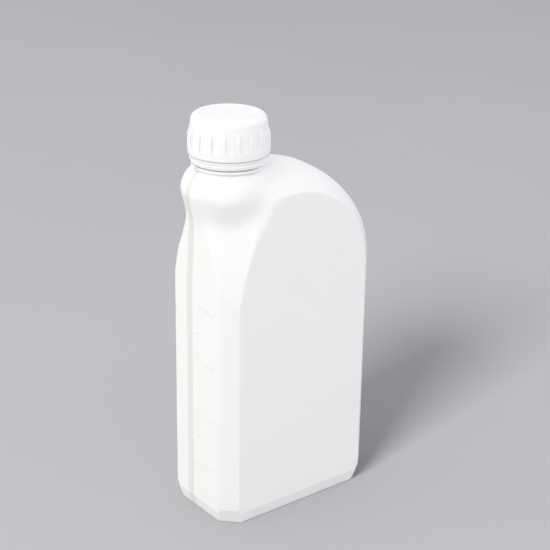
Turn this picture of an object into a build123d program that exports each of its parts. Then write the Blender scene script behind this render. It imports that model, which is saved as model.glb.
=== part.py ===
from build123d import *
import math
import os

# Flat one-litre screw-cap bottle. Millimetres, +Z up, standing on Z = 0.
# X runs from the narrow front wall under the neck to the rounded rear shoulder, Y is the thickness.

# Body
body_length = 109.0
body_thickness = 60.0
corner_chamfer = 8.5
wall = 0.9
edge_softness = 1.6

# Rear shoulder: the rear wall turns over in a quarter round that is arched across the thickness
shoulder_top = 216.5
crest_flat = 13.5
crest_drop = 4.1
arch_inset = 10.2
arch_overreach = 4.0
arch_rise = 24.6

# Cheeks: the gently rounded flats that cut the upper front corners down to the neck
cheek_turn = 50.8
cheek_radius = 220.0
cheek_fall = 100.0
cheek_reach = 33.2
cheek_softness = 9.0

# Base: walls and corners draw in to a standing rim round a push-up with a pinch-off weld
base_bevel_height = 8.0
base_bevel_inset = 2.2
corner_bevel_height = 10.0
corner_bevel_inset = 3.8
base_softness = 1.0
standing_rim = 7.0
push_up = 2.0
push_up_slope = 45.0
pinch_length = 62.0
pinch_width = 1.2
pinch_height = 0.7

# Collar: the round dome that carries the neck, undercut to the front wall
neck_setback = 22.5
collar_radius = 27.2
collar_edge_fall = 13.2
collar_mid_radius = 24.9
collar_mid_fall = 5.7
collar_drop = 3.5
collar_top_radius = 19.6
undercut_top_radius = 25.9
undercut_top_fall = 20.0
undercut_foot_radius = 22.3
undercut_foot_fall = 37.0

# Neck finish: transfer bead, lock ring for the tamper band, threaded mouth
bore_radius = 16.4
neck_radius = 18.6
neck_height = 26.7
bead_radius = 21.2
bead_lift = 0.3
bead_height = 1.7
bead_softness = 0.6
lock_radius = 19.9
lock_lift = 2.0
lock_height = 0.6
lock_rise = 1.2

# Screw thread, right-handed, shared by neck and cap
pitch = 4.0
thread_depth = 1.3
thread_foot = 1.8
thread_crest = 0.8
thread_turns = 1.75
thread_root = 0.2
thread_drop = 11.5

# Tamper band, hooked under the lock ring and flared up to the cap
band_gap = 1.0
band_height = 4.7
band_radius = 21.4
band_flare = 1.4
band_play = 0.4
band_lip = 1.0
band_groove_height = 0.5
band_groove_depth = 0.3

# Cap: a tapered cup with a plain rim below and upright grip ribs round it
cap_gap = 0.4
cap_radius = 23.2
cap_rim_height = 3.8
cap_rim_taper = 0.3
cap_cup_radius = 22.2
cap_shoulder_radius = 21.2
cap_edge_radius = 4.2
cap_play = 0.4
cap_top_thickness = 1.5
cap_corner_height = 2.5
cap_corner_taper = 1.0
cap_recess_radius = 15.6
cap_recess_depth = 0.4
rib_count = 18
rib_radius = 23.1
rib_turn = 6.0
rib_width = 2.1
rib_drop = 3.2
rib_slope = 8.5
rib_root = 0.4

# Liner
liner_thickness = 1.6
liner_play = 0.4
liner_gap = 0.1

# Volume marks on the front wall
mark_count = 9
mark_first_height = 34.5
mark_pitch = 16.6
mark_length = 4.0
mark_width = 0.9
mark_height = 0.35

os.makedirs("parts", exist_ok=True)

overhang = collar_radius - neck_setback
rear_x = (body_length + overhang) / 2
front_x = rear_x - body_length
middle_x = (front_x + rear_x) / 2
neck_x = front_x + neck_setback
half_thickness = body_thickness / 2
shoulder_radius = body_length - neck_setback - crest_flat
shoulder_start = shoulder_top - shoulder_radius
shoulder_x = rear_x - shoulder_radius
arch_x = shoulder_x + arch_inset
arch_half_width = half_thickness + arch_overreach
crest_height = shoulder_top - crest_drop
cheek_foot = shoulder_top - cheek_fall
collar_top_height = shoulder_top - collar_drop
collar_mid_height = collar_top_height - collar_mid_fall
collar_edge_height = collar_top_height - collar_edge_fall
undercut_top_height = collar_top_height - undercut_top_fall
undercut_foot_height = collar_top_height - undercut_foot_fall
neck_plane = Plane((neck_x, 0, 0), x_dir=(1, 0, 0), z_dir=(0, -1, 0))
neck_axis = Axis((neck_x, 0, 0), (0, 0, 1))
chamfer_shrink = 2 - math.sqrt(2)
corner_reach = (body_length + body_thickness - 2 * corner_chamfer) / math.sqrt(2)
bevel_slope = base_bevel_inset / base_bevel_height
corner_slope = corner_bevel_inset / corner_bevel_height
bead_bottom = collar_top_height + bead_lift
bead_top = bead_bottom + bead_height
lock_bottom = bead_top + lock_lift
neck_top = bead_bottom + neck_height
neck_thread_start = neck_top - thread_drop
band_bottom = bead_top + band_gap
band_top = band_bottom + band_height
band_bore = lock_radius + band_play
groove_middle = (band_bottom + band_top) / 2
groove_radius = band_radius + band_flare / 2
cap_bottom = band_top + cap_gap
cap_bore = neck_radius + thread_depth + cap_play
cap_ceiling = neck_top + liner_gap + liner_thickness
cap_top = cap_ceiling + cap_top_thickness
rib_bottom = cap_bottom + cap_rim_height
rib_top = cap_top - rib_drop


def roof_form(inset):
    """The space under the arched shoulder: an arch run forward over the neck and turned down to the rear."""
    half_width = arch_half_width - inset
    rise = arch_rise - inset
    springing = crest_height - arch_rise
    with BuildPart() as roof:
        with BuildSketch(Plane((arch_x, 0, 0), x_dir=(0, 1, 0), z_dir=(1, 0, 0))) as arch:
            with BuildLine():
                EllipticalCenterArc((0, springing), half_width, rise, start_angle=0, arc_size=180)
                Polyline((-half_width, springing), (-half_width, shoulder_start),
                         (half_width, shoulder_start), (half_width, springing))
            make_face()
        extrude(amount=-body_length)
        revolve(arch.sketch, axis=Axis((arch_x, 0, shoulder_start), (0, 1, 0)), revolution_arc=90)
        with Locations((0, 0, shoulder_start)):
            Box(2 * body_length, 2 * half_width, shoulder_start + wall,
                align=(Align.CENTER, Align.CENTER, Align.MAX))
    return roof.part


def base_outline(inset):
    """The plan of the body, drawn in by inset on every wall."""
    with BuildSketch() as plan:
        with Locations((middle_x, 0)):
            Rectangle(body_length - 2 * inset, body_thickness - 2 * inset)
        chamfer(plan.vertices(), corner_chamfer - chamfer_shrink * inset)
    return plan.sketch


def corner_outline(inset):
    """The square through the four corner chamfers, drawn in by inset."""
    with BuildSketch() as plan:
        with Locations((middle_x, 0)):
            Rectangle(corner_reach - 2 * inset, corner_reach - 2 * inset, rotation=45)
    return plan.sketch


def body_form(inset):
    """The body without its collar; inset moves every wall inwards."""
    half = half_thickness - inset
    front = front_x + inset
    rear = rear_x - inset
    radius = shoulder_radius - inset
    top = shoulder_start + radius
    roof = roof_form(inset)
    foot = base_outline(base_bevel_inset + inset * math.hypot(1, bevel_slope))
    corners = corner_outline(corner_bevel_inset + inset * math.hypot(1, corner_slope))
    with BuildPart() as form:
        with BuildSketch(Plane.XZ):
            with BuildLine():
                Polyline((shoulder_x, top), (neck_x, top), (front, undercut_top_height),
                         (front, inset), (rear, inset), (rear, shoulder_start))
                CenterArc((shoulder_x, shoulder_start), radius, 0, 90)
            make_face()
        extrude(amount=half, both=True)
        outline = form.faces().filter_by(Axis.Y).edges()
        outline = outline.filter_by(lambda edge: edge.center().Z > inset + wall)
        chamfer(outline, corner_chamfer - chamfer_shrink * inset)
        add(roof, mode=Mode.INTERSECT)
        for side in (-1, 1):
            outward = Vector(-1, 0, 0).rotate(Axis.Z, -side * cheek_turn)
            cheek = Plane((neck_x, 0, cheek_foot), x_dir=outward, z_dir=outward.cross(Vector(0, 0, 1)))
            with BuildSketch(cheek):
                with Locations((cheek_reach, 0)):
                    Rectangle(cheek_radius, cheek_radius, align=(Align.CENTER, Align.MIN))
                with Locations((cheek_reach - cheek_radius, 0)):
                    Circle(cheek_radius - inset, mode=Mode.SUBTRACT)
            extrude(amount=body_length, both=True, mode=Mode.SUBTRACT)
        extrude(foot, amount=top, taper=-math.degrees(math.atan(bevel_slope)), mode=Mode.INTERSECT)
        extrude(corners, amount=top, taper=-math.degrees(math.atan(corner_slope)), mode=Mode.INTERSECT)
    return form.part


def collar_form(inset):
    """The turned collar under the neck, with the hollow undercut that runs down into the front wall."""
    with BuildPart() as collar:
        with BuildSketch(neck_plane):
            with BuildLine():
                undercut = TangentArc((undercut_foot_radius - inset, undercut_foot_height),
                                      (undercut_top_radius - inset, undercut_top_height), tangent=(0, 1))
                edge = TangentArc(undercut @ 1, (collar_radius - inset, collar_edge_height),
                                  tangent=undercut % 1)
                dome = ThreePointArc(edge @ 1, (collar_mid_radius - inset, collar_mid_height),
                                     (collar_top_radius - inset, collar_top_height - inset))
                Polyline(dome @ 1, (0, collar_top_height - inset), (0, undercut_foot_height), undercut @ 0)
            make_face()
        revolve(axis=neck_axis)
    return collar.part


def thread_form(root_radius, depth, start):
    """A screw thread that stands depth out of root_radius; a negative depth points inwards."""
    sunk = -math.copysign(thread_root, depth)
    with BuildPart() as thread:
        with BuildLine() as path:
            Helix(pitch, pitch * thread_turns, root_radius, center=(neck_x, 0, start))
        with BuildSketch(Plane((neck_x + root_radius, 0, start), x_dir=(1, 0, 0), z_dir=(0, -1, 0))):
            with BuildLine():
                Polyline((sunk, -thread_foot / 2), (depth, -thread_crest / 2), (depth, thread_crest / 2),
                         (sunk, thread_foot / 2), close=True)
            make_face()
        sweep(path=path.line, is_frenet=True)
    return thread.part


outer_body = body_form(0)
inner_body = body_form(wall)
outer_collar = collar_form(0)
inner_collar = collar_form(wall)
neck_thread = thread_form(neck_radius, thread_depth, neck_thread_start)
cap_thread = thread_form(cap_bore, -thread_depth, neck_thread_start - pitch / 2)
push_up_plan = base_outline(standing_rim)
push_up_inner_plan = base_outline(standing_rim - wall)

with BuildPart() as hollow:
    add(inner_body)
    extrude(push_up_inner_plan, amount=push_up + wall, taper=push_up_slope, mode=Mode.SUBTRACT)
    add(inner_collar)
    with Locations((neck_x, 0, collar_edge_height)):
        Cylinder(bore_radius, neck_top - collar_edge_height, align=(Align.CENTER, Align.CENTER, Align.MIN))

with BuildPart() as bottle:
    add(outer_body)
    cheeks = bottle.faces().filter_by(lambda face: face.geom_type == GeomType.CYLINDER
                                      and face.radius > shoulder_radius + wall)
    fillet(cheeks.edges().filter_by(GeomType.BSPLINE), cheek_softness)
    fillet(bottle.edges().filter_by(lambda edge: edge.center().Z > wall), edge_softness)
    fillet(bottle.faces().sort_by(Axis.Z)[0].edges(), base_softness)
    add(outer_collar)
    with BuildSketch(neck_plane):
        with BuildLine():
            Polyline((0, collar_mid_height), (neck_radius, collar_mid_height), (neck_radius, bead_bottom),
                     (bead_radius, bead_bottom), (bead_radius, bead_top), (neck_radius, bead_top),
                     (neck_radius, lock_bottom), (lock_radius, lock_bottom),
                     (lock_radius, lock_bottom + lock_height),
                     (neck_radius, lock_bottom + lock_height + lock_rise),
                     (neck_radius, neck_top), (0, neck_top), close=True)
        make_face()
    revolve(axis=neck_axis)
    bead = bottle.edges().filter_by(GeomType.CIRCLE).filter_by_position(Axis.Z, bead_bottom, bead_top)
    fillet(bead.filter_by(lambda edge: edge.radius > collar_top_radius), bead_softness)
    add(neck_thread)
    for mark in range(mark_count):
        with Locations((front_x, 0, mark_first_height + mark * mark_pitch)):
            Box(2 * mark_height, mark_length, mark_width)
    add(hollow.part, mode=Mode.SUBTRACT)
    extrude(push_up_plan, amount=push_up, taper=push_up_slope, mode=Mode.SUBTRACT)
    with Locations((middle_x, 0, push_up + wall / 2)):
        Box(pinch_length, pinch_width, pinch_height + wall / 2,
            align=(Align.CENTER, Align.CENTER, Align.MAX))

bottle.part.label = "bottle"
export_step(bottle.part, "parts/bottle.step")

with BuildPart() as tamper_band:
    with BuildSketch(neck_plane):
        with BuildLine():
            Polyline((band_bore - band_lip, band_bottom), (band_radius, band_bottom),
                     (groove_radius, groove_middle - band_groove_height),
                     (groove_radius - band_groove_depth, groove_middle),
                     (groove_radius, groove_middle + band_groove_height),
                     (band_radius + band_flare, band_top), (band_bore + band_flare, band_top),
                     (band_bore, lock_bottom), (band_bore - band_lip, lock_bottom), close=True)
        make_face()
    revolve(axis=neck_axis)

tamper_band.part.label = "tamper_band"
export_step(tamper_band.part, "parts/tamper_band.step")

with BuildPart() as rib:
    with BuildSketch(Plane.XZ):
        with BuildLine():
            Polyline((cap_bore + rib_root, rib_bottom), (rib_radius, rib_bottom),
                     (rib_radius, rib_top - rib_slope), (cap_bore + rib_root, rib_top), close=True)
        make_face()
    extrude(amount=rib_width / 2, both=True)

with BuildPart() as cap:
    with BuildSketch(neck_plane):
        with BuildLine():
            Polyline((0, cap_bottom), (cap_radius - cap_rim_taper, cap_bottom), (cap_radius, rib_bottom),
                     (cap_cup_radius, rib_bottom), (cap_shoulder_radius, cap_top), (0, cap_top), close=True)
        make_face()
    revolve(axis=neck_axis)
    fillet(cap.edges().filter_by(GeomType.CIRCLE).group_by(Axis.Z)[-1], cap_edge_radius)
    with Locations((neck_x, 0, 0)):
        with PolarLocations(0, rib_count, start_angle=rib_turn):
            add(rib.part)
    with Locations((neck_x, 0, cap_top)):
        Cylinder(cap_recess_radius, 2 * cap_recess_depth, mode=Mode.SUBTRACT)
    with BuildSketch(neck_plane):
        with BuildLine():
            Polyline((0, cap_bottom), (cap_bore, cap_bottom), (cap_bore, cap_ceiling - cap_corner_height),
                     (cap_bore - cap_corner_taper, cap_ceiling), (0, cap_ceiling), close=True)
        make_face()
    revolve(axis=neck_axis, mode=Mode.SUBTRACT)
    add(cap_thread)

cap.part.label = "cap"
export_step(cap.part, "parts/cap.step")

with BuildPart() as cap_liner:
    with Locations((neck_x, 0, neck_top + liner_gap)):
        Cylinder(cap_bore - cap_corner_taper - liner_play, liner_thickness,
                 align=(Align.CENTER, Align.CENTER, Align.MIN))

cap_liner.part.label = "cap_liner"
export_step(cap_liner.part, "parts/cap_liner.step")
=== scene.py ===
import math

import bmesh
import bpy
from mathutils import Matrix, Quaternion, Vector
from mathutils.kdtree import KDTree


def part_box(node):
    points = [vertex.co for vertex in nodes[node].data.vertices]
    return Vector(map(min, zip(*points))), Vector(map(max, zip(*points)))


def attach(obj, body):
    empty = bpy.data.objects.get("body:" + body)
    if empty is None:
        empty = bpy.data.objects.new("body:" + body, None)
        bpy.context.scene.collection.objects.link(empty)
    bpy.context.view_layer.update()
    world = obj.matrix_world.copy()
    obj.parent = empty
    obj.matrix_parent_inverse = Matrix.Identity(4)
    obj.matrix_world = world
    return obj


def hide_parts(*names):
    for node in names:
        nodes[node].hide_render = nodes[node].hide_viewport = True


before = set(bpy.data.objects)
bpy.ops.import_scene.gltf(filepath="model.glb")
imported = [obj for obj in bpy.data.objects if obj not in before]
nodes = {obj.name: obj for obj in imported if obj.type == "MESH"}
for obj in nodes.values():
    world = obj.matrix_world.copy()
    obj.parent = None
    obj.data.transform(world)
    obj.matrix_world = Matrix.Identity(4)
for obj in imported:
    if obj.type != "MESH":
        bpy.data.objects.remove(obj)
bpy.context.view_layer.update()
mm = 0.001
capLow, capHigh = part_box("cap")
neckX = (capLow.x + capHigh.x) / 2  # the neck's axis, as the cap is turned round it
print("frame loaded:", ", ".join(sorted(nodes)))


def clearSelection():
    if bpy.context.mode != "OBJECT":
        bpy.ops.object.mode_set(mode="OBJECT")
    bpy.ops.object.select_all(action="DESELECT")


def direction(azimuth, elevation):
    a, e = math.radians(azimuth), math.radians(elevation)
    return Vector((math.sin(a) * math.cos(e), -math.cos(a) * math.cos(e), math.sin(e)))


# Shared shader pieces

def feed(tree, socket, value):
    if isinstance(value, bpy.types.NodeSocket):
        tree.links.new(value, socket)
    else:
        socket.default_value = value


def addNode(tree, kind, settings=None, **inputs):
    node = tree.nodes.new(kind)
    for name, value in (settings or {}).items():
        setattr(node, name, value)
    for name, value in inputs.items():
        feed(tree, node.inputs[name], value)
    return node


def calculate(tree, operation, *values):
    node = addNode(tree, "ShaderNodeMath", {"operation": operation})
    for socket, value in zip(node.inputs, values):
        feed(tree, socket, value)
    return node.outputs["Value"]


def remap(tree, value, fromLow, fromHigh, toLow, toHigh, smooth=False):
    interpolation = "SMOOTHSTEP" if smooth else "LINEAR"
    node = addNode(tree, "ShaderNodeMapRange", {"interpolation_type": interpolation})
    for name, number in (("Value", value), ("From Min", fromLow), ("From Max", fromHigh),
                         ("To Min", toLow), ("To Max", toHigh)):
        feed(tree, node.inputs[name], number)
    return node.outputs["Result"]


def newGroup(name, inputs, outputs):
    group = bpy.data.node_groups.new(name, "ShaderNodeTree")
    for label, kind in inputs:
        group.interface.new_socket(label, in_out="INPUT", socket_type=kind)
    for label, kind in outputs:
        group.interface.new_socket(label, in_out="OUTPUT", socket_type=kind)
    given = group.nodes.new("NodeGroupInput").outputs
    result = group.nodes.new("NodeGroupOutput").inputs
    return group, given, result


# Moulded plastic: cloudy tone, rubbed sheen, and a fine grain on a slow wave
skinNoise = {
    "cloud": {"Scale": 28.0, "Detail": 2.0},
    "rub": {"Scale": 75.0, "Detail": 4.0, "Roughness": 0.6},
    "grain": {"Detail": 3.0},
    "wave": {"Scale": 60.0, "Detail": 1.0},
    "grainShare": 0.35,
}


def makeMoldedSkin():
    group, given, result = newGroup(
        "moldedSkin",
        [("Vector", "NodeSocketVector"),
         ("Color", "NodeSocketColor"),
         ("Tone Shift", "NodeSocketFloat"),
         ("Grain Scale", "NodeSocketFloat"),
         ("Roughness", "NodeSocketFloat"),
         ("Roughness Spread", "NodeSocketFloat")],
        [("Color", "NodeSocketColor"),
         ("Roughness", "NodeSocketFloat"),
         ("Height", "NodeSocketFloat")])

    def noise(name, **inputs):
        node = addNode(group, "ShaderNodeTexNoise", Vector=given["Vector"],
                       **skinNoise[name], **inputs)
        return node.outputs["Fac"]

    def around(value, spread):  # noise moved to run evenly above and below nought
        return calculate(group, "MULTIPLY", calculate(group, "SUBTRACT", value, 0.5), spread)

    tone = around(noise("cloud"), given["Tone Shift"])
    shade = calculate(group, "ADD", calculate(group, "MULTIPLY", tone, 2.0), 1.0)
    tint = addNode(group, "ShaderNodeVectorMath", {"operation": "SCALE"}, Scale=shade)
    group.links.new(given["Color"], tint.inputs[0])
    group.links.new(tint.outputs["Vector"], result["Color"])
    rubbed = around(noise("rub"), given["Roughness Spread"])
    group.links.new(calculate(group, "ADD", rubbed, given["Roughness"]), result["Roughness"])
    grain = noise("grain", Scale=given["Grain Scale"])
    grain = calculate(group, "MULTIPLY", grain, skinNoise["grainShare"])
    group.links.new(calculate(group, "ADD", grain, noise("wave")), result["Height"])
    return group


moldedSkin = makeMoldedSkin()


def newMaterial(name):
    material = bpy.data.materials.new(name)
    material.use_nodes = True
    tree = material.node_tree
    return material, tree, tree.nodes["Principled BSDF"]


def useGroup(tree, group, place):
    return addNode(tree, "ShaderNodeGroup", {"node_tree": group}, Vector=place)


def skinNodes(tree, look):
    place = addNode(tree, "ShaderNodeTexCoord").outputs["Object"]
    skin = useGroup(tree, moldedSkin, place)
    for name in ("Color", "Tone Shift", "Grain Scale", "Roughness", "Roughness Spread"):
        skin.inputs[name].default_value = look[name]
    return place, skin.outputs


def joinSkin(tree, shader, color, roughness, raised):
    tree.links.new(color, shader.inputs["Base Color"])
    tree.links.new(roughness, shader.inputs["Roughness"])
    bump = addNode(tree, "ShaderNodeBump", Height=raised, Distance=1.0)
    tree.links.new(bump.outputs["Normal"], shader.inputs["Normal"])


# Bottle wall: white blow-moulded plastic with a grey view stripe and a faint parting seam
bottleLook = {
    "Color": (0.845, 0.845, 0.835, 1),
    "Tone Shift": 0.012,
    "Grain Scale": 1500.0,
    "Roughness": 0.4,
    "Roughness Spread": 0.12,
    "grainDepth": 0.06 * mm,
    "seamWidth": 0.5 * mm,
    "seamHeight": 0.25 * mm,
    "seamFront": -48 * mm,
    "seamFrontShare": 0.2,  # nearly flat on the front wall
}
stripeLook = {
    "Color": (0.735, 0.73, 0.71, 1),
    "course": ((145, 7.0), (175, 4.8), (187, 4.2), (202, 1.6), (213, 1.6)),  # height, side in mm
    "bodyHalfWidth": 2.7 * mm,
    "neckHalfWidth": 1.9 * mm,
    "narrowFrom": 196 * mm,
    "narrowTo": 212 * mm,
    "edge": 0.3 * mm,
}


def makeStripeMask():
    group, given, result = newGroup("stripeMask", [("Vector", "NodeSocketVector")],
                                    [("Mask", "NodeSocketFloat")])
    axes = addNode(group, "ShaderNodeSeparateXYZ", Vector=given["Vector"]).outputs
    course, edge = stripeLook["course"], stripeLook["edge"]
    centre = course[0][1] * mm
    for (fromHeight, fromSide), (toHeight, toSide) in zip(course, course[1:]):
        shift = (toSide - fromSide) * mm
        step = remap(group, axes["Z"], fromHeight * mm, toHeight * mm, 0.0, shift)
        centre = calculate(group, "ADD", step, centre)
    halfWidth = remap(group, axes["Z"], stripeLook["narrowFrom"], stripeLook["narrowTo"],
                      stripeLook["bodyHalfWidth"], stripeLook["neckHalfWidth"])
    away = calculate(group, "ABSOLUTE", calculate(group, "SUBTRACT", axes["Y"], centre))
    beyond = calculate(group, "SUBTRACT", away, halfWidth)
    inside = remap(group, beyond, -edge, edge, 1.0, 0.0, smooth=True)
    front = calculate(group, "LESS_THAN", axes["X"], neckX)
    group.links.new(calculate(group, "MULTIPLY", inside, front), result["Mask"])
    return group


def makePartingSeam():
    group, given, result = newGroup("partingSeam", [("Vector", "NodeSocketVector")],
                                    [("Height", "NodeSocketFloat")])
    axes = addNode(group, "ShaderNodeSeparateXYZ", Vector=given["Vector"]).outputs
    away = calculate(group, "ABSOLUTE", axes["Y"])
    line = remap(group, away, 0.0, bottleLook["seamWidth"], 1.0, 0.0, smooth=True)
    front = remap(group, axes["X"], bottleLook["seamFront"], neckX,
                  bottleLook["seamFrontShare"], 1.0)
    group.links.new(calculate(group, "MULTIPLY", line, front), result["Height"])
    return group


def makeBottleWall():
    material, tree, shader = newMaterial("bottleWall")
    place, skin = skinNodes(tree, bottleLook)
    mask = useGroup(tree, makeStripeMask(), place).outputs["Mask"]
    seam = useGroup(tree, makePartingSeam(), place).outputs["Height"]
    striped = addNode(tree, "ShaderNodeMix", {"data_type": "RGBA"})
    tree.links.new(mask, striped.inputs["Factor"])
    tree.links.new(skin["Color"], striped.inputs["A"])
    striped.inputs["B"].default_value = stripeLook["Color"]
    grain = calculate(tree, "MULTIPLY", skin["Height"], bottleLook["grainDepth"])
    ridge = calculate(tree, "MULTIPLY", seam, bottleLook["seamHeight"])
    raised = calculate(tree, "ADD", grain, ridge)
    joinSkin(tree, shader, striped.outputs["Result"], skin["Roughness"], raised)
    return material


# Cap and band: harder, slightly glossier white plastic
capLook = {
    "Color": (0.87, 0.87, 0.87, 1),
    "Tone Shift": 0.01,
    "Grain Scale": 2200.0,
    "Roughness": 0.34,
    "Roughness Spread": 0.1,
    "grainDepth": 0.025 * mm,
}
# Liner: pressed foam
linerLook = {
    "Color": (0.8, 0.8, 0.78, 1),
    "Tone Shift": 0.04,
    "Grain Scale": 1400.0,
    "Roughness": 0.7,
    "Roughness Spread": 0.1,
    "grainDepth": 0.2 * mm,
}


def makePlainPlastic(name, look):
    material, tree, shader = newMaterial(name)
    skin = skinNodes(tree, look)[1]
    raised = calculate(tree, "MULTIPLY", skin["Height"], look["grainDepth"])
    joinSkin(tree, shader, skin["Color"], skin["Roughness"], raised)
    return material


bottleWall = makeBottleWall()
capShell = makePlainPlastic("capShell", capLook)
linerFoam = makePlainPlastic("linerFoam", linerLook)
for name, material in (("bottle", bottleWall), ("tamper_band", capShell),
                       ("cap", capShell), ("cap_liner", linerFoam)):
    nodes[name].data.materials.clear()
    nodes[name].data.materials.append(material)
print("materials made")


# The bottle's skin: the solid's own mesh, softened at the collar's crease and above the base
skinShape = {
    "weld": 0.01 * mm,
    "factor": 0.5,
    "sharpAngle": 28.0,
}
creaseZone = {
    "angle": -14.0,  # edges folded inwards by more than this
    "nearAxis": 19.5 * mm,  # distances from the neck's axis
    "farAxis": 28.5 * mm,
    "low": 178 * mm,
    "high": 212.05 * mm,
    "full": 5.0 * mm,  # fully softened up to here, fading out at reach
    "reach": 15.0 * mm,
    "longestEdge": 1.5 * mm,
    "passes": 130,
}
baseZone = {
    "height": 8.5 * mm,
    "full": 1.0 * mm,
    "reach": 6.0 * mm,
    "longestEdge": 3.0 * mm,
    "passes": 14,
}


def findCrease(mesh):
    shape = bmesh.new()
    shape.from_mesh(mesh)
    points = []
    for edge in shape.edges:
        middle = (edge.verts[0].co + edge.verts[1].co) / 2
        radius = math.hypot(middle.x - neckX, middle.y)
        near = creaseZone["nearAxis"] < radius < creaseZone["farAxis"]
        level = creaseZone["low"] < middle.z < creaseZone["high"]
        if near and level and math.degrees(edge.calc_face_angle_signed(0)) < creaseZone["angle"]:
            points += [edge.verts[0].co.copy(), middle, edge.verts[1].co.copy()]
    shape.free()
    crease = KDTree(len(points))
    for index, point in enumerate(points):
        crease.insert(point, index)
    crease.balance()
    return crease


def cutLongEdges(mesh, distances):
    while True:
        bpy.ops.object.mode_set(mode="EDIT")
        bpy.ops.mesh.select_mode(type="EDGE")
        bpy.ops.mesh.select_all(action="DESELECT")
        bpy.ops.object.mode_set(mode="OBJECT")
        chosen = 0
        for edge in mesh.edges:
            first, second = (mesh.vertices[index].co for index in edge.vertices)
            length = (first - second).length
            middle = (first + second) / 2
            edge.select = any(
                length > zone["longestEdge"] and away(middle) < zone["reach"] + length / 2
                for zone, away in distances)
            chosen += edge.select
        if not chosen:
            return
        bpy.ops.object.mode_set(mode="EDIT")
        bpy.ops.mesh.subdivide(number_cuts=1, ngon=False)
        bpy.ops.mesh.select_all(action="SELECT")
        bpy.ops.mesh.quads_convert_to_tris(quad_method="SHORTEST_DIAGONAL",
                                           ngon_method="BEAUTY")
        bpy.ops.object.mode_set(mode="OBJECT")


def soften(piece, name, zone, away):
    group = piece.vertex_groups.new(name=name)
    for vertex in piece.data.vertices:
        share = (zone["reach"] - away(vertex.co)) / (zone["reach"] - zone["full"])
        if share > 0:
            share = min(share, 1.0)
            weight = share * share * (3 - 2 * share)  # smooth at both ends
            group.add([vertex.index], weight, "REPLACE")
    smooth = piece.modifiers.new(name, "SMOOTH")
    smooth.factor = skinShape["factor"]
    smooth.iterations = zone["passes"]
    smooth.vertex_group = name
    bpy.ops.object.modifier_apply(modifier=name)


def makeBottleSkin():
    clearSelection()
    piece = bpy.data.objects.new("bottleSkin", nodes["bottle"].data.copy())
    bpy.context.scene.collection.objects.link(piece)
    bpy.context.view_layer.objects.active = piece
    piece.select_set(True)
    bpy.ops.object.mode_set(mode="EDIT")
    bpy.ops.mesh.select_all(action="SELECT")
    bpy.ops.mesh.customdata_custom_splitnormals_clear()
    bpy.ops.mesh.remove_doubles(threshold=skinShape["weld"])
    bpy.ops.object.mode_set(mode="OBJECT")
    crease = findCrease(piece.data)
    fromCrease = (creaseZone, lambda point: crease.find(point)[2])
    fromBase = (baseZone, lambda point: abs(point.z - baseZone["height"]))
    cutLongEdges(piece.data, (fromCrease, fromBase))
    soften(piece, "crease", *fromCrease)
    soften(piece, "base", *fromBase)
    bpy.ops.object.shade_smooth_by_angle(angle=math.radians(skinShape["sharpAngle"]))
    even = piece.modifiers.new("even", "WEIGHTED_NORMAL")
    even.keep_sharp = True
    bpy.ops.object.modifier_apply(modifier=even.name)
    piece.data.materials.clear()
    piece.data.materials.append(bottleWall)
    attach(piece, "bottle")
    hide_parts("bottle")
    print("bottle skin faces:", len(piece.data.polygons))


makeBottleSkin()


# Raised volume figures on the front wall, beside every second mark
figures = {
    "frontWall": -52.15 * mm,
    "left": -3.0 * mm,
    "width": 13.5 * mm,
    "textSize": 4.6 * mm,
    "rise": 0.16 * mm,
    "edge": 0.06 * mm,
    "edgeSteps": 1,
    "curveSteps": 6,
    "firstBaseline": 31.6 * mm,
    "step": 33.2 * mm,
    "volumes": (200, 400, 600, 800),
}


def makeFigures():
    made = []
    turn = Matrix(((0, 0, -1), (-1, 0, 0), (0, 1, 0))).to_4x4()  # faces -X and reads towards -Y
    for row, volume in enumerate(figures["volumes"]):
        clearSelection()
        bpy.ops.object.text_add(location=(0, 0, 0))
        text = bpy.context.object
        text.data.body = f"{volume} ml"
        text.data.size = figures["textSize"]
        text.data.extrude = figures["rise"] - figures["edge"]
        text.data.bevel_depth = figures["edge"]
        text.data.bevel_resolution = figures["edgeSteps"]
        text.data.resolution_u = figures["curveSteps"]
        bpy.ops.object.convert(target="MESH")
        piece = bpy.context.object
        stretch = figures["width"] / piece.dimensions.x
        baseline = figures["firstBaseline"] + row * figures["step"]
        start = Matrix.Translation((figures["frontWall"], figures["left"], baseline))
        piece.matrix_world = start @ turn @ Matrix.Diagonal((stretch, 1, 1, 1))
        bpy.ops.object.transform_apply(location=True, rotation=True, scale=True)
        made.append(piece)
    clearSelection()
    for piece in made:
        piece.select_set(True)
    bpy.context.view_layer.objects.active = made[0]
    bpy.ops.object.join()
    whole = bpy.context.object
    whole.name = "volumeFigures"
    whole.data.materials.clear()
    whole.data.materials.append(bottleWall)
    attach(whole, "bottle")


makeFigures()
print("volume figures made")


# The moulding gate in the middle of the cap's recess
gate = {
    "radius": 1.3 * mm,
    "sides": 32,
    "height": 0.28 * mm,
    "rim": 0.45 * mm,
    "dip": 0.18 * mm,
    "recess": 0.4 * mm,  # depth of the cap's recess
    "topFacing": 0.9,
    "sharpAngle": 35.0,
}


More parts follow.
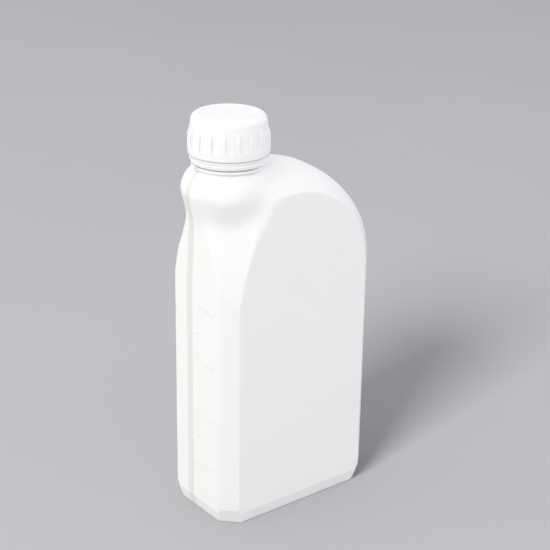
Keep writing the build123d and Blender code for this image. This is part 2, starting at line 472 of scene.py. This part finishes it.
def makeGate():
    clearSelection()
    floorHeight = capHigh.z - gate["recess"]
    bpy.ops.mesh.primitive_cylinder_add(
        vertices=gate["sides"], radius=gate["radius"], depth=gate["height"],
        location=(neckX, 0, floorHeight + gate["height"] / 2))
    piece = bpy.context.object
    piece.name = "gateMark"
    bpy.ops.object.transform_apply(location=True, rotation=True, scale=True)
    for face in piece.data.polygons:
        face.select = face.normal.z > gate["topFacing"]
    bpy.ops.object.mode_set(mode="EDIT")
    bpy.ops.mesh.select_mode(type="FACE")
    bpy.ops.mesh.inset(thickness=gate["rim"], depth=0)
    bpy.ops.mesh.inset(thickness=gate["rim"] / 2, depth=-gate["dip"])
    bpy.ops.object.mode_set(mode="OBJECT")
    bpy.ops.object.shade_smooth_by_angle(angle=math.radians(gate["sharpAngle"]))
    piece.data.materials.append(capShell)
    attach(piece, "cap")


makeGate()
print("gate mark made")


# Studio: grey paper, light from all round, a soft key from the left and a lamp for the paper only
studio = {
    "floorSize": 8.0,
    "floorColor": (0.228, 0.228, 0.237),
    "floorRoughness": 0.8,
    "cloudScale": 3.0,
    "cloudDetail": 2.0,
    "cloudDark": 0.97,
    "cloudPale": 1.03,
    "coolColor": (0.952, 0.95, 1.015, 1),  # far from sideAzimuth
    "warmColor": (1.0, 0.988, 0.955, 1),
    "backdropStrength": 0.56,  # what the camera and reflections see behind the horizon
    "horizonStrength": 1.82,
    "zenithStrength": 0.97,
    "sideAzimuth": -106.0,
    "sideStrength": 0.28,
    "aim": 0.12,
    "keyAzimuth": -98.0,
    "keyElevation": 24.0,
    "keyDistance": 2.6,
    "keySize": 0.8,
    "keyPower": 3.2,
    "floorLampAzimuth": -68.0,
    "floorLampElevation": 34.0,
    "floorLampDistance": 8.0,
    "floorLampSize": 2.6,
    "floorLampPower": 1350.0,
}


def addLamp(name):
    light = bpy.data.lights.new(name, "AREA")
    light.energy = studio[name + "Power"]
    light.size = studio[name + "Size"]
    lamp = bpy.data.objects.new(name, light)
    bpy.context.scene.collection.objects.link(lamp)
    towards = direction(studio[name + "Azimuth"], studio[name + "Elevation"])
    lamp.location = Vector((0, 0, studio["aim"])) + towards * studio[name + "Distance"]
    lamp.rotation_mode = "QUATERNION"
    lamp.rotation_quaternion = (-towards).to_track_quat("-Z", "Y")
    return lamp


def makeFloor():
    clearSelection()
    bpy.ops.mesh.primitive_plane_add(size=studio["floorSize"], location=(0, 0, 0))
    floor = bpy.context.object
    floor.name = "studioFloor"
    material, tree, shader = newMaterial("floorPaper")
    place = addNode(tree, "ShaderNodeTexCoord").outputs["Object"]
    cloud = addNode(tree, "ShaderNodeTexNoise", Vector=place,
                    Scale=studio["cloudScale"], Detail=studio["cloudDetail"])
    shade = remap(tree, cloud.outputs["Fac"], 0.0, 1.0, studio["cloudDark"], studio["cloudPale"])
    tint = addNode(tree, "ShaderNodeVectorMath", {"operation": "SCALE"}, Scale=shade)
    tint.inputs[0].default_value = studio["floorColor"]
    tree.links.new(tint.outputs["Vector"], shader.inputs["Base Color"])
    shader.inputs["Roughness"].default_value = studio["floorRoughness"]
    shader.inputs["Specular IOR Level"].default_value = 0.0
    floor.data.materials.append(material)
    return floor


def makeWorld():
    world = bpy.data.worlds.new("studioWorld")
    world.use_nodes = True
    sky = world.node_tree
    background = sky.nodes["Background"]
    upward = addNode(sky, "ShaderNodeTexCoord").outputs["Generated"]
    slope = addNode(sky, "ShaderNodeSeparateXYZ", Vector=upward).outputs["Z"]
    glow = remap(sky, slope, 0.0, 1.0, studio["horizonStrength"], studio["zenithStrength"])
    side = addNode(sky, "ShaderNodeVectorMath", {"operation": "DOT_PRODUCT"})
    sky.links.new(upward, side.inputs[0])
    side.inputs[1].default_value = direction(studio["sideAzimuth"], 0)
    cast = addNode(sky, "ShaderNodeMix", {"data_type": "RGBA"})
    warmth = remap(sky, side.outputs["Value"], -1.0, 1.0, 0.0, 1.0)
    sky.links.new(warmth, cast.inputs["Factor"])
    cast.inputs["A"].default_value = studio["coolColor"]
    cast.inputs["B"].default_value = studio["warmColor"]
    sky.links.new(cast.outputs["Result"], background.inputs["Color"])
    rays = addNode(sky, "ShaderNodeLightPath").outputs
    seen = calculate(sky, "MAXIMUM", rays["Is Camera Ray"], rays["Is Glossy Ray"])
    seen = calculate(sky, "MAXIMUM", seen, rays["Is Transmission Ray"])
    sideGlow = calculate(sky, "MULTIPLY", side.outputs["Value"], studio["sideStrength"])
    light = calculate(sky, "ADD", glow, sideGlow)
    strength = addNode(sky, "ShaderNodeMix", Factor=seen, A=light, B=studio["backdropStrength"])
    sky.links.new(strength.outputs["Result"], background.inputs["Strength"])
    bpy.context.scene.world = world


def makeLamps(floor):
    addLamp("key")
    floorLamp = addLamp("floorLamp")  # lights the paper only, and the bottle shades it
    paperOnly = bpy.data.collections.new("paperOnly")
    paperOnly.objects.link(floor)
    floorLamp.light_linking.receiver_collection = paperOnly


studioFloor = makeFloor()
makeWorld()
makeLamps(studioFloor)
print("studio made")


# Camera at the photograph's angle
shot = {
    "azimuth": -38.30,
    "elevation": 21.95,
    "distance": 835.8 * mm,
    "target": (4.16 * mm, 0, 138.87 * mm),
    "roll": 0.0153,
    "focalPixels": 1419.27,
    "imageWidth": 550,
    "sensor": 36.0,
    "clipStart": 0.01,
    "clipEnd": 50.0,
}


def makeCamera():
    data = bpy.data.cameras.new("photoCamera")
    data.sensor_width = shot["sensor"]
    data.lens = shot["focalPixels"] / shot["imageWidth"] * shot["sensor"]
    data.clip_start = shot["clipStart"]
    data.clip_end = shot["clipEnd"]
    camera = bpy.data.objects.new("photoCamera", data)
    bpy.context.scene.collection.objects.link(camera)
    back = direction(shot["azimuth"], shot["elevation"])
    camera.location = Vector(shot["target"]) + back * shot["distance"]
    camera.rotation_mode = "QUATERNION"
    roll = Quaternion((0, 0, 1), shot["roll"])
    camera.rotation_quaternion = (-back).to_track_quat("-Z", "Y") @ roll
    bpy.context.scene.camera = camera


makeCamera()
bpy.context.scene.view_settings.view_transform = "Standard"
print("camera set")
